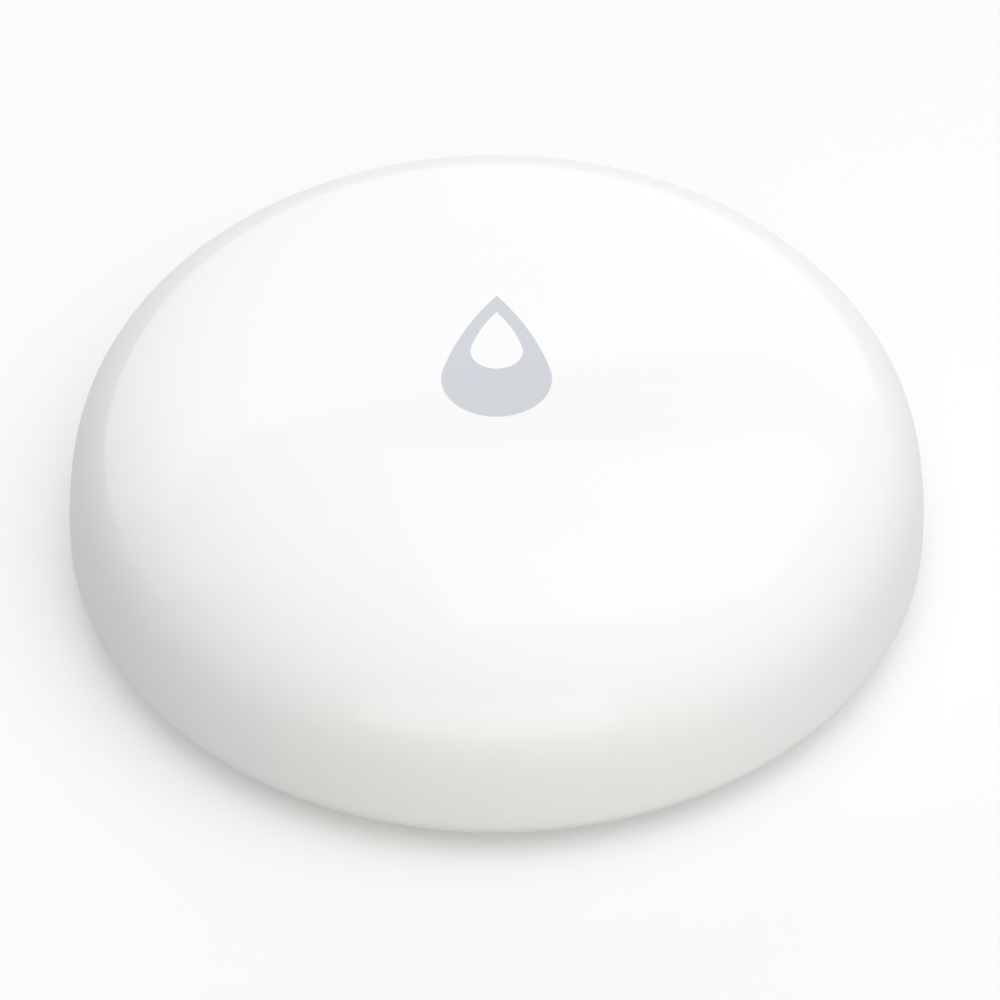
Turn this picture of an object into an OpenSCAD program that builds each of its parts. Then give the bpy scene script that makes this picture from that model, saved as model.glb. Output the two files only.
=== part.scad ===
// Round water leak sensor. A domed cover is pressed as one big button over a sealed base, which
// carries the board, the coin cell behind a coin-turn door, and two probe screws that sense water.
// Millimetres, +Z up. The origin is on the floor under the centre of the crown.

/* [Cover] */
// Widest diameter of the cover
cover_d = 50; // [49:0.5:58]
// Height from the floor to the top of the crown
overall_h = 15; // [14.5:0.1:18]
// Height of the cover's widest line above the floor
widest_z = 2.9; // [2.6:0.1:3.4]
// Radius of the bulging side, in section
side_r = 24; // [18:1:28]
// Lean of the side, in degrees, where the shoulder takes over from it
side_lean = 10; // [6:1:12]
// Slope, in degrees, where the upper shoulder takes over from the shoulder
upper_slope = 40; // [34:1:46]
// Radius of the upper shoulder over that of the shoulder
upper_ratio = 1.27; // [1.1:0.01:1.5]
// Slope, in degrees, where the crown's edge takes over from the upper shoulder
rim_slope = 13.5; // [11:0.5:16]
// Radius of the crown's edge over that of the shoulder
rim_ratio = 3.6; // [2.5:0.1:4.5]
// Slope of the crown, in degrees, at its edge
crown_slope = 4; // [2.5:0.1:6]
// Radius of the tucked-in lower edge
edge_r = 1.5; // [1:0.1:1.8]
// Wall of the dome
cover_wall = 1.6; // [1.2:0.1:2]
// Wall of the skirt at the widest line
skirt_wall = 2.2; // [1.9:0.1:2.6]
// Travel of the cover when it is pressed
press_travel = 0.3; // [0.15:0.05:0.5]

/* [Cover inside] */
// Number of snap lugs that hold the cover on the base
lug_count = 4; // [3:1:6]
// Width of a snap lug round the skirt, in degrees
lug_angle = 16; // [10:1:24]
// Reach of a snap lug from the skirt
lug_reach = 0.6; // [0.4:0.1:0.9]
// Height of a snap lug
lug_h = 0.8; // [0.6:0.1:1]
// Height of a snap lug above the cover's lower edge
lug_up = 1; // [0.8:0.1:1.2]
// Clearance round a snap lug in its pocket
lug_gap = 0.1; // [0.05:0.05:0.2]
// Diameter of the boss that presses the switch
press_boss_d = 5; // [4.5:0.5:8]
// Number of stiffening ribs round the boss
rib_count = 6; // [3:1:8]
// Length of a rib from the cover's centre
rib_l = 9; // [6:0.5:12]
// Thickness of a rib
rib_t = 0.8; // [0.6:0.1:1.2]
// Depth of a rib below the crown, as a share of the boss's depth
rib_share = 0.8; // [0.5:0.05:0.9]
// Diameter of the soft pad under the boss
press_pad_d = 4.4; // [3:0.1:4.5]
// Thickness of the soft pad
press_pad_h = 0.5; // [0.3:0.1:0.7]
// Gap between the pad and the switch at rest
press_gap = 0.05; // [0.02:0.01:0.1]

/* [Drop mark] */
// Width of the drop
drop_w = 6.3; // [5.4:0.1:8]
// Length of the drop
drop_l = 10.3; // [8:0.1:11.5]
// Width of the inner drop that is left out
inner_drop_w = 3; // [2.6:0.1:3.6]
// Length of the inner drop
inner_drop_l = 4.9; // [4:0.1:5.4]
// Distance from the tip of the drop to the tip of the inner one
tip_gap = 1.45; // [1.2:0.05:2]
// Angle, in degrees, at which the side arcs leave the drop's round end
drop_turn = 15; // [5:1:18]
// Distance of the drop's middle behind the crown's centre
drop_offset = 0.3; // [0:0.1:2]
// Depth of the inlaid mark
mark_depth = 0.2; // [0.1:0.05:0.4]

/* [Base] */
// Radial gap between the base and the cover's skirt
base_gap = 0.15; // [0.1:0.05:0.25]
// Height of the base's underside above the floor
floor_gap = 0.8; // [0.6:0.1:1]
// Thickness of the base's floor
base_floor = 1.6; // [1.2:0.1:2]
// Wall of the base's rim
base_wall = 1.7; // [1.5:0.1:2]
// Height of the rim above the base's underside
base_rim_h = 5.6; // [5.2:0.1:6]
// Bevel of the base's lower edge
base_bevel = 0.4; // [0.2:0.1:0.6]
// Height of the sealing ring between the rim and the skirt
seal_h = 1; // [0.8:0.1:1.2]
// Depth of the sealing ring's groove
seal_depth = 0.8; // [0.6:0.1:1]
// Height of the rim above the sealing ring
seal_land = 0.7; // [0.5:0.1:0.9]
// Clearance of a piece that is seated in a recess or a groove
seat_gap = 0.03; // [0.01:0.01:0.05]

/* [Feet] */
// Number of feet
foot_count = 4; // [3:1:4]
// Diameter of a foot
foot_d = 5; // [3.5:0.5:5.5]
// Depth to which a foot is let into the base
foot_recess = 0.5; // [0.3:0.1:0.8]
// Bevel of a foot's lower edge
foot_bevel = 0.2; // [0.1:0.05:0.3]

/* [Coin cell] */
// Diameter of the coin cell
cell_d = 20; // [16:0.5:21]
// Height of the coin cell
cell_h = 3.2; // [2.5:0.1:3.6]
// Diameter of the cell's cap
cell_cap_d = 17.4; // [12:0.2:17.6]
// Height of the cap above the can's crimped edge
cell_cap_h = 0.3; // [0.2:0.05:0.4]
// Radial gap round the coin cell
cell_gap = 0.3; // [0.2:0.05:0.5]
// Bevel of the can's edges
cell_bevel = 0.3; // [0.2:0.05:0.4]
// Diameter of the foam pad under the cell
cell_pad_d = 14; // [8:1:15]
// Thickness of the foam pad
cell_pad_h = 0.5; // [0.3:0.1:0.8]
// Thickness of the contact strips
contact_t = 0.25; // [0.2:0.05:0.3]
// Width of the contact strips
contact_w = 4; // [3:0.5:4.5]
// Length of a contact's soldered foot
contact_foot = 1.4; // [1:0.1:1.5]
// Length of the negative contact's finger
contact_reach = 8; // [6:0.5:9]
// Length of the finger's flat tip
contact_tip = 3; // [2:0.5:4]
// Space between the cell and the board
contact_space = 0.9; // [0.7:0.1:1.1]

/* [Battery door] */
// Thickness of the door's head
door_h = 1.8; // [1.7:0.1:2.1]
// How far the door's head laps over the well
head_lap = 1; // [0.9:0.1:1.3]
// Running gap round the door
door_gap = 0.1; // [0.05:0.05:0.15]
// Wall of the door's spigot
spigot_wall = 0.8; // [0.7:0.1:1]
// Number of bayonet lugs
door_lug_count = 3; // [2:1:3]
// Reach of a bayonet lug from the spigot
door_lug_reach = 0.8; // [0.6:0.1:1]
// Height of a bayonet lug
door_lug_h = 0.7; // [0.5:0.1:0.9]
// Width of a bayonet lug, in degrees
door_lug_angle = 24; // [16:1:30]
// Turn of the door from locked to open, in degrees
door_turn = 40; // [36:1:50]
// Angular clearance of a lug at its stops, in degrees
stop_gap = 1.5; // [1:0.5:2]
// Width of a stop, in degrees
stop_angle = 6; // [4:1:8]
// Angular clearance of a lug in the notch that lets it out, in degrees
notch_gap = 1; // [0.5:0.25:1]
// Thickness of the ledge that the lugs lock over
ledge_h = 0.8; // [0.6:0.1:1]
// Gap above and below the ledge
lock_gap = 0.05; // [0.03:0.01:0.1]
// Wall of the collar round the well
collar_wall = 1.2; // [1:0.1:1.4]
// Height of the door's sealing ring
door_seal_h = 0.8; // [0.6:0.1:0.9]
// Depth of the door's seal groove
door_seal_depth = 0.7; // [0.5:0.1:0.8]
// Width of the coin slot
slot_w = 2.2; // [1.8:0.1:2.6]
// Length of the coin slot
slot_l = 17; // [12:1:18]
// Depth of the coin slot
slot_depth = 1.1; // [0.8:0.1:1.2]
// Diameter of the shallow dish round the coin slot
dish_d = 19; // [18:0.5:20]
// Depth of the dish
dish_depth = 0.3; // [0.2:0.05:0.4]
// Radius of the moulded lock marks
mark_r = 0.6; // [0.4:0.1:0.7]
// Depth of the moulded lock marks
lock_mark_depth = 0.25; // [0.15:0.05:0.4]

/* [Probes] */
// Height of the probe heads above the floor
probe_gap = 0.5; // [0.4:0.1:0.6]
// Diameter of a probe screw's head
probe_head_d = 4.6; // [4:0.1:4.8]
// Height of a probe screw's head
probe_head_h = 1.1; // [0.9:0.1:1.3]
// Bevel of a probe head's contact face
probe_bevel = 0.25; // [0.15:0.05:0.35]
// Diameter of a probe screw's shank
probe_shank_d = 2; // [1.6:0.1:2.2]
// Length of a probe screw's shank
probe_shank_l = 4.6; // [3.6:0.2:5]
// Width of the driver slot in a probe head
probe_slot_w = 0.7; // [0.5:0.1:0.9]
// Depth of the driver slot
probe_slot_depth = 0.5; // [0.3:0.1:0.6]
// Radial clearance round a probe head
probe_clear = 0.4; // [0.3:0.1:0.5]
// Height of the boss over a probe head
probe_boss_h = 1.6; // [1.4:0.1:2]
// Diameter of the boss over a probe head
probe_boss_d = 6; // [5.4:0.1:6.4]
// Outer diameter of a probe's sealing ring
probe_seal_d = 3.8; // [3.4:0.1:4]
// Height of a probe's sealing ring
probe_seal_h = 0.6; // [0.5:0.05:0.7]
// Diameter of a standoff
standoff_d = 4.4; // [3.6:0.1:5]
// Diameter of the standoff's soldered pin
standoff_pin_d = 3; // [2.8:0.1:3.2]

/* [Board] */
// Thickness of the board
board_t = 1; // [0.8:0.1:1.4]
// Radial gap between the board and the base's rim
board_gap = 0.45; // [0.3:0.05:1]
// Diameter of a board post
post_d = 4.4; // [3.6:0.2:5]
// Diameter of a board screw's shank
board_screw_d = 1.6; // [1.2:0.1:1.8]
// Length of a board screw's shank
board_screw_l = 4; // [3:0.5:4.5]
// Diameter of a board screw's head
board_screw_head_d = 3; // [2.6:0.1:3.4]
// Height of a board screw's head
board_screw_head_h = 0.9; // [0.7:0.1:1.1]
// Width of the cross in a board screw's head
cross_w = 0.4; // [0.3:0.05:0.5]
// Depth of the cross
cross_depth = 0.4; // [0.3:0.05:0.6]

/* [Switch] */
// Width of the press switch
switch_w = 4.5; // [4.3:0.1:5.5]
// Share of the space between the board and the crown that the switch fills
switch_share = 0.73; // [0.7:0.01:0.78]
// Share of the switch's height that its moulded body fills
switch_body_share = 0.58; // [0.54:0.01:0.62]
// Thickness of the switch's metal frame
switch_frame_t = 0.3; // [0.2:0.05:0.4]
// Diameter of the well in the switch's body
switch_well_d = 3.9; // [3.6:0.1:4]
// Diameter of the plunger's stem
plunger_d = 2.5; // [2:0.1:2.8]
// Thickness of the plunger's flange
flange_h = 0.5; // [0.4:0.05:0.6]
// Running gap round the plunger
plunger_gap = 0.08; // [0.05:0.01:0.12]
// Rise of the snap dome
snap_rise = 0.55; // [0.5:0.05:0.65]
// Thickness of the snap dome
snap_t = 0.1; // [0.08:0.01:0.12]
// Width of a switch leg
leg_w = 0.7; // [0.5:0.1:0.9]
// Length of a switch leg beyond the body
leg_l = 0.9; // [0.6:0.1:1.2]
// Thickness of a switch leg
leg_t = 0.2; // [0.15:0.05:0.3]
// Distance between the legs on one side
leg_pitch = 3; // [2:0.1:3.4]

/* [Electronics] */
// Width of the radio chip
chip_w = 6; // [4:0.5:7]
// Height of the radio chip
chip_h = 0.9; // [0.7:0.1:1.2]
// Length of the crystal's can
crystal_l = 3.2; // [2:0.2:4]
// Width of the crystal's can
crystal_w = 2.5; // [1.6:0.1:3]
// Height of the crystal's can
crystal_h = 0.7; // [0.5:0.1:1]
// Length of the bulk capacitor
bulk_l = 3.5; // [2.8:0.1:4.5]
// Width of the bulk capacitor
bulk_w = 2.8; // [2:0.1:3.2]
// Height of the bulk capacitor
bulk_h = 1.9; // [1.2:0.1:2.2]
// Length of the status light
led_l = 1.6; // [1.2:0.1:2]
// Width of the status light
led_w = 0.8; // [0.6:0.1:1.2]
// Height of the status light's substrate
led_h = 0.3; // [0.2:0.05:0.4]
// Length of a chip capacitor or resistor
passive_l = 1; // [0.8:0.1:1.6]
// Width of a chip capacitor or resistor
passive_w = 0.5; // [0.4:0.1:0.8]
// Height of a chip capacitor
capacitor_h = 0.5; // [0.4:0.05:0.8]
// Height of a chip resistor
resistor_h = 0.35; // [0.25:0.05:0.5]
// Number of chip capacitors in their row
capacitor_count = 6; // [2:1:7]
// Number of chip resistors in their row
resistor_count = 5; // [2:1:7]
// Distance between chip capacitors or resistors
passive_pitch = 1.3; // [1.2:0.1:1.6]
// Width of the antenna's printed track
track_w = 0.6; // [0.4:0.1:0.8]
// Thickness of the antenna's printed track
track_t = 0.1; // [0.05:0.01:0.15]
// Number of folds of the antenna
fold_count = 6; // [3:1:7]
// Distance between the antenna's folds
fold_pitch = 2; // [1.6:0.1:2.4]
// Length of an antenna fold
fold_l = 4; // [2:0.5:5]

/* [Hidden] */
$fn = 96;
// Facets of a whole circle in the dome's section, and of the drop's sides and round end
dome_fn = 720;
drop_side_steps = 10;
drop_round_steps = 48;
// Overlap of features that are moulded in one piece, and the run-out of a cut
weld = 0.3;
cut = 1;
// Height by which the crown is cut flat at its very top, so that the dome has no pole
hair = 0.001;

// Section of the dome: crown, crown's edge, upper shoulder, shoulder, side and the cover's lower
// edge are arcs that meet in line
function slope(a) = [sin(a), cos(a)];
function arc(centre, r, from, to, steps) =
    [for (i = [0 : steps]) centre + r * slope(from + (to - from) * i / steps)];
side_c = [cover_d / 2 - side_r, widest_z];
side_start = side_c + side_r * slope(90 - side_lean);
// The way across and down from the crown's top to the side gives the radii of the shoulder and crown
function way(a) = [sin(a), -cos(a)];
shoulder_way = rim_ratio * (way(rim_slope) - way(crown_slope))
    + upper_ratio * (way(upper_slope) - way(rim_slope))
    + way(90 - side_lean) - way(upper_slope);
side_drop = overall_h + hair - side_start.y;
crown_tan = tan(crown_slope / 2);
shoulder_r = (side_drop - side_start.x * crown_tan) / (shoulder_way.y - shoulder_way.x * crown_tan);
crown_r = (side_start.x - shoulder_r * shoulder_way.x) / sin(crown_slope);
rim_r = rim_ratio * shoulder_r;
upper_r = upper_ratio * shoulder_r;
crown_c = [0, overall_h + hair - crown_r];
rim_c = crown_c + (crown_r - rim_r) * slope(crown_slope);
upper_c = rim_c + (rim_r - upper_r) * slope(rim_slope);
shoulder_c = upper_c + (upper_r - shoulder_r) * slope(upper_slope);
edge_c = [cover_d / 2 - edge_r, widest_z];
edge_z = widest_z - edge_r;
bore_r = cover_d / 2 - skirt_wall;
// Inside, one crown runs in line into the shoulder, so the wall thickens a little where it bends
crown_in_z = overall_h - cover_wall;
shoulder_in_r = shoulder_r - cover_wall;
crown_in_slope = 2 * atan((crown_in_z + hair - shoulder_c.y - shoulder_in_r) / shoulder_c.x);
crown_in_r = shoulder_in_r + shoulder_c.x / sin(crown_in_slope);
crown_in_c = [0, crown_in_z + hair - crown_in_r];
lug_z = edge_z + lug_up;
lug_top = lug_z + lug_h;

// Base, from the floor up
base_r = bore_r - base_gap;
rim_in_r = base_r - base_wall;
floor_top = floor_gap + base_floor;
rim_top = floor_gap + base_rim_h;
groove_top = rim_top - seal_land;
groove_z = groove_top - seal_h;

// Door and well, from the cell's axis out and from the base's underside up
cell_r = cell_d / 2;
spigot_in_r = cell_r + cell_gap;
spigot_r = spigot_in_r + spigot_wall;
door_lug_r = spigot_r + door_lug_reach;
well_r = door_lug_r + door_gap;
head_r = well_r + head_lap;
pocket_r = head_r + door_gap;
collar_r = pocket_r + collar_wall;
head_top = floor_gap + door_h;
ledge_z = head_top + lock_gap;
ledge_top = ledge_z + ledge_h;
door_lug_z = ledge_top + lock_gap;
spigot_top = door_lug_z + door_lug_h;
door_groove_z = floor_gap + (door_h - door_seal_h) / 2;
door_lug_step = 360 / door_lug_count;
pointer_angle = -90 + door_turn / 2;

// Cell, board and switch, stacked on the door
cell_z = head_top + cell_pad_h;
cell_top = cell_z + cell_h;
board_z = cell_top + contact_space;
board_top = board_z + board_t;
board_r = rim_in_r - board_gap;
switch_h = switch_share * (crown_in_z - board_top);
switch_body_h = switch_body_share * switch_h;
switch_top = board_top + switch_h;
frame_z = board_top + switch_body_h;
flange_z = frame_z - plunger_gap - flange_h;
snap_z = flange_z - press_gap - snap_rise;
pad_z = switch_top + press_gap;
boss_z = pad_z + press_pad_h;
rib_h = rib_share * (crown_in_z - boss_z);

// Probes, posts and feet stand midway between the collar and the rim
ring_r = (collar_r + rim_in_r) / 2;
probe_places = [for (side = [-1, 1]) [side * ring_r, 0]];
post_places = [for (side = [-1, 1]) [0, side * ring_r]];
foot_places = [for (i = [0 : foot_count - 1]) ring_r * slope(45 + i * 360 / foot_count)];
probe_seat_z = probe_gap + probe_head_h;
probe_boss_top = floor_top + probe_boss_h;
probe_bore_r = probe_shank_d / 2 + seat_gap;

// Places of the small parts on the board
chip_place = [9, 5];
crystal_place = [9, 11];
bulk_place = [-9, 5];
led_place = [0, 9];
capacitor_place = [6, -4.5];
resistor_place = [-12, -4.5];
antenna_place = [-5, -13.5];

white = [0.97, 0.97, 0.97];
soft_white = [0.9, 0.91, 0.92];
drop_grey = [0.83, 0.84, 0.86];
seal_grey = [0.55, 0.57, 0.6];
steel = [0.75, 0.76, 0.78];
brass = [0.8, 0.66, 0.35];
board_green = [0.1, 0.4, 0.25];
chip_black = [0.1, 0.1, 0.11];

// A slice of a disc between two slopes, measured from straight up
module sector(centre, r, from, to) {
    reach = 2 * r;
    intersection() {
        translate(centre) circle(r, $fn = dome_fn);
        polygon([
            centre,
            centre + reach * slope(from),
            centre + reach * slope((from + to) / 2),
            centre + reach * slope(to)
        ]);
    }
}

// The part of a half section that lies over the shoulder's centre and under a height
module over_shoulder(top) {
    intersection() {
        children();
        translate([0, shoulder_c.y]) square([cover_d, top - shoulder_c.y]);
    }
}

// Half section of the crown alone, drawn in by an even depth
module crown_half(depth) {
    over_shoulder(overall_h - depth) sector(crown_c, crown_r - depth, 0, crown_slope);
}

// Half section of the dome above its widest line: its arcs round a plain core
module dome_half() {
    crown_end = crown_c + crown_r * slope(crown_slope);
    polygon([
        [0, widest_z],
        [cover_d / 2, widest_z],
        side_start,
        shoulder_c + shoulder_r * slope(upper_slope),
        upper_c + upper_r * slope(rim_slope),
        crown_end,
        [0, crown_end.y]
    ]);
    crown_half(0);
    over_shoulder(overall_h) sector(rim_c, rim_r, crown_slope, rim_slope);
    sector(upper_c, upper_r, rim_slope, upper_slope);
    sector(shoulder_c, shoulder_r, upper_slope, 90 - side_lean);
    intersection() {
        sector(side_c, side_r, 90 - side_lean, 90);
        translate([shoulder_c.x, widest_z]) square([cover_d, overall_h]);
    }
}

// Half section of the space in the dome, over the skirt's bore
module hollow_half() {
    shoulder_end = shoulder_c + shoulder_in_r * slope(crown_in_slope);
    bore_slope = asin((bore_r - shoulder_c.x) / shoulder_in_r);
    bore_end = shoulder_c + shoulder_in_r * slope(bore_slope);
    polygon([
        [0, edge_z - cut],
        [bore_r, edge_z - cut],
        bore_end,
        shoulder_end,
        [0, shoulder_end.y]
    ]);
    over_shoulder(crown_in_z) sector(crown_in_c, crown_in_r, 0, crown_in_slope);
    sector(shoulder_c, shoulder_in_r, crown_in_slope, bore_slope);
}

module cover_section() {
    difference() {
        union() {
            dome_half();
            translate([0, edge_z]) square([edge_c.x, edge_r]);
            sector(edge_c, edge_r, 90, 180);
        }
        hollow_half();
    }
}

// A block that follows the circle, from one angle over a width, both in degrees
module arc_block(r_in, r_out, z, h, from, width) {
    rotate(from) rotate_extrude(angle = width) translate([r_in, z]) square([r_out - r_in, h]);
}

module tube(r_in, r_out, z, h) {
    rotate_extrude() translate([r_in, z]) square([r_out - r_in, h]);
}

module disc(r, z, h) {
    translate([0, 0, z]) cylinder(r = r, h = h);
}

// A squeezed sealing ring: a rounded section that fills its groove
module seal_ring(r_in, r_out, z, h) {
    w = r_out - r_in;
    rotate_extrude() translate([(r_in + r_out) / 2, z + h / 2]) intersection() {
        square([w, h], center = true);
        circle(r = (w + h) / 3);
    }
}

// A block centred on a place on the board's top
module on_board(place, size) {
    translate([place.x - size.x / 2, place.y - size.y / 2, board_top]) cube(size);
}

// Outline of a drop with its round end at the origin and its tip towards +Y. On each side a wide
// arc runs in line from the round end to the tip.
function drop_points(w, l) = let(
    r = w / 2,
    tip = l - r,
    shift = (tip * tip - r * r) / (2 * (r - tip * sin(drop_turn))),
    centre = -shift * [cos(drop_turn), sin(drop_turn)],
    tip_slope = acos((tip - centre.y) / (shift + r)),
    side = arc(centre, shift + r, tip_slope, 90 - drop_turn, drop_side_steps),
    round_end = arc([0, 0], r, 90 - drop_turn, 270 + drop_turn, drop_round_steps)
) concat(
    side,
    [for (i = [1 : drop_round_steps - 1]) round_end[i]],
    [for (i = [drop_side_steps : -1 : 1]) [-side[i].x, side[i].y]]
);

module drop_plan() {
    tip_y = drop_offset + drop_l / 2;
    difference() {
        translate([0, tip_y - drop_l + drop_w / 2]) polygon(drop_points(drop_w, drop_l));
        translate([0, tip_y - tip_gap - inner_drop_l + inner_drop_w / 2])
            polygon(drop_points(inner_drop_w, inner_drop_l));
    }
}

// The drop cut out of a layer of the crown, as deep as the mark and standing over it by some height
module drop_layer(over) {
    intersection() {
        translate([0, 0, crown_in_z]) linear_extrude(cover_wall + 2 * cut) drop_plan();
        rotate_extrude() difference() {
            crown_half(-over);
            crown_half(mark_depth);
        }
    }
}

module cover_shell() {
    color(white) difference() {
        union() {
            rotate_extrude() cover_section();
            for (i = [0 : lug_count - 1]) snap_lug(45 + i * 360 / lug_count);
            disc(press_boss_d / 2, boss_z, crown_in_z + weld - boss_z);
            for (i = [0 : rib_count - 1]) rotate(i * 360 / rib_count)
                translate([0, -rib_t / 2, crown_in_z - rib_h]) cube([rib_l, rib_t, rib_h + weld]);
        }
        drop_layer(cut);
    }
}

// A snap lug with a lead-in ramp below
module snap_lug(angle) {
    rotate(angle - lug_angle / 2) rotate_extrude(angle = lug_angle) polygon([
        [bore_r + weld, lug_z],
        [bore_r, lug_z],
        [bore_r - lug_reach, lug_top - lug_h / 2],
        [bore_r - lug_reach, lug_top],
        [bore_r + weld, lug_top]
    ]);
}

module drop_mark() {
    color(drop_grey) drop_layer(0);
}

module press_pad() {
    color(seal_grey) disc(press_pad_d / 2, pad_z, press_pad_h);
}

module base_section() {
    polygon([
        [pocket_r, floor_gap],
        [base_r - base_bevel, floor_gap],
        [base_r, floor_gap + base_bevel],
        [base_r, groove_z],
        [base_r - seal_depth, groove_z],
        [base_r - seal_depth, groove_top],
        [base_r, groove_top],
        [base_r, rim_top],
        [rim_in_r, rim_top],
        [rim_in_r, floor_top],
        [collar_r, floor_top],
        [collar_r, ledge_top],
        [well_r + collar_wall, ledge_top],
        [well_r + collar_wall, board_z],
        [well_r, board_z],
        [well_r, ledge_top],
        [spigot_r + door_gap, ledge_top],
        [spigot_r + door_gap, ledge_z],
        [pocket_r, ledge_z]
    ]);
}

// The stops that a bayonet lug meets when the door is locked and when it is open
module door_stops(angle) {
    locked = angle + door_lug_angle / 2 + stop_gap;
    open = angle - door_turn - door_lug_angle / 2 - stop_gap - stop_angle;
    for (from = [locked, open])
        arc_block(spigot_r + 2 * door_gap, well_r + weld, ledge_top - weld, door_lug_h + weld, from, stop_angle);
}

// The notch in the ledge that lets a bayonet lug out when the door is open
module door_notch(angle) {
    width = door_lug_angle + 2 * notch_gap;
    arc_block(spigot_r - weld, well_r - seat_gap, ledge_z - weld, ledge_h + 2 * weld,
        angle - door_turn - width / 2, width);
}

// Dot for locked and ring for open, moulded into the underside beside the door
module lock_marks() {
    mark_place_r = collar_r + mark_r / 2;
    rotate(pointer_angle) translate([mark_place_r, 0]) disc(mark_r, floor_gap - cut, cut + lock_mark_depth);
    rotate(pointer_angle - door_turn) translate([mark_place_r, 0])
        tube(mark_r / 2, mark_r, floor_gap - cut, cut + lock_mark_depth);
}

module base_housing() {
    lug_pocket_z = lug_z - press_travel - lug_gap;
    lug_pocket_angle = lug_angle + 2 * stop_gap;
    color(white) difference() {
        union() {
            difference() {
                rotate_extrude() base_section();
                for (i = [0 : door_lug_count - 1]) door_notch(i * door_lug_step);
            }
            for (i = [0 : door_lug_count - 1]) door_stops(i * door_lug_step);
            for (p = probe_places) translate(p)
                disc(probe_boss_d / 2, floor_top - weld, probe_boss_h + weld);
            for (p = post_places) translate(p)
                disc(post_d / 2, floor_top - weld, board_z - floor_top + weld);
        }
        for (i = [0 : lug_count - 1]) arc_block(
            bore_r - lug_reach - lug_gap, base_r + cut,
            lug_pocket_z, lug_top + seat_gap - lug_pocket_z,
            45 + i * 360 / lug_count - lug_pocket_angle / 2, lug_pocket_angle
        );
        for (p = probe_places) translate(p) {
            disc(probe_head_d / 2 + probe_clear, floor_gap - cut, probe_seat_z - floor_gap + cut);
            disc(probe_seal_d / 2 + seat_gap, probe_seat_z - weld, probe_seal_h + weld);
            disc(probe_bore_r, probe_seat_z, probe_boss_top - probe_seat_z + cut);
        }
        for (p = post_places) translate(p)
            disc(board_screw_d / 2 + seat_gap, board_z - board_screw_l, board_screw_l + cut);
        for (p = foot_places) translate(p)
            disc(foot_d / 2 + seat_gap, floor_gap - cut, foot_recess + cut);
        lock_marks();
    }
}

module base_feet() {
    foot_r = foot_d / 2;
    foot_top = floor_gap + foot_recess;
    color(soft_white) for (p = foot_places) translate(p) rotate_extrude() polygon([
        [0, 0], [foot_r - foot_bevel, 0], [foot_r, foot_bevel], [foot_r, foot_top], [0, foot_top]
    ]);
}

module cover_seal() {
    color(seal_grey) seal_ring(
        base_r - seal_depth + seat_gap, bore_r - seat_gap,
        groove_z + seat_gap, seal_h - 2 * seat_gap
    );
}

module battery_door() {
    pointer_r = (dish_d / 2 + head_r) / 2;
    color(white) difference() {
        union() {
            disc(head_r, floor_gap, door_h);
            tube(spigot_in_r, spigot_r, head_top - weld, spigot_top - head_top + weld);
            for (i = [0 : door_lug_count - 1]) arc_block(
                spigot_r - weld, door_lug_r, door_lug_z, door_lug_h,
                i * door_lug_step - door_lug_angle / 2, door_lug_angle
            );
        }
        tube(head_r - door_seal_depth, head_r + cut, door_groove_z, door_seal_h);
        disc(dish_d / 2, floor_gap - cut, cut + dish_depth);
        intersection() {
            disc(slot_l / 2, floor_gap - cut, cut + slot_depth);
            translate([-slot_l, -slot_w / 2, 0]) cube([2 * slot_l, slot_w, head_top]);
        }
        rotate(pointer_angle) translate([pointer_r, 0, floor_gap - cut])
            cylinder(r = mark_r, h = cut + lock_mark_depth, $fn = 3);
    }
}

module door_seal() {
    color(seal_grey) seal_ring(
        head_r - door_seal_depth + seat_gap, pocket_r - seat_gap,
        door_groove_z + seat_gap, door_seal_h - 2 * seat_gap
    );
}

module cell_pad() {
    color(chip_black) disc(cell_pad_d / 2, head_top, cell_pad_h);
}

module coin_cell() {
    can_top = cell_top - cell_cap_h;
    cap_r = cell_cap_d / 2;
    color(steel) rotate_extrude() polygon([
        [0, cell_z],
        [cell_r - cell_bevel, cell_z],
        [cell_r, cell_z + cell_bevel],
        [cell_r, can_top - cell_bevel],
        [cell_r - cell_bevel, can_top],
        [cap_r, can_top],
        [cap_r, cell_top],
        [0, cell_top]
    ]);
}

// A strip bent from a side outline that lies in the XZ plane
module bent_strip(outline) {
    translate([0, contact_w / 2, 0]) rotate([90, 0, 0]) linear_extrude(contact_w) polygon(outline);
}

module cell_positive_contact() {
    near = cell_r + seat_gap;
    finger_z = spigot_top + lock_gap;
    color(steel) bent_strip([
        [near, finger_z],
        [near + contact_t, finger_z],
        [near + contact_t, board_z - contact_t],
        [near + contact_foot, board_z - contact_t],
        [near + contact_foot, board_z],
        [near, board_z]
    ]);
}

module cell_negative_contact() {
    start = -contact_reach / 2 - contact_foot;
    bend = start + contact_foot;
    end = bend + contact_reach;
    color(steel) bent_strip([
        [start, board_z],
        [start, board_z - contact_t],
        [bend, board_z - contact_t],
        [end - contact_tip, cell_top],
        [end, cell_top],
        [end, cell_top + contact_t],
        [end - contact_tip, cell_top + contact_t],
        [bend, board_z]
    ]);
}

module circuit_board() {
    color(board_green) difference() {
        disc(board_r, board_z, board_t);
        for (p = probe_places) translate(p)
            disc(standoff_pin_d / 2 + seat_gap, board_z - cut, board_t + 2 * cut);
        for (p = post_places) translate(p)
            disc(board_screw_d / 2 + seat_gap, board_z - cut, board_t + 2 * cut);
    }
}

module radio_chip() {
    color(chip_black) on_board(chip_place, [chip_w, chip_w, chip_h]);
}

module crystal() {
    color(steel) on_board(crystal_place, [crystal_l, crystal_w, crystal_h]);
}

module status_led() {
    color(soft_white) {
        on_board(led_place, [led_l, led_w, led_h]);
        translate([led_place.x, led_place.y, board_top + led_h]) intersection() {
            sphere(led_w / 2);
            translate([-led_w, -led_w, -weld / 2]) cube(2 * led_w);
        }
    }
}

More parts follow.
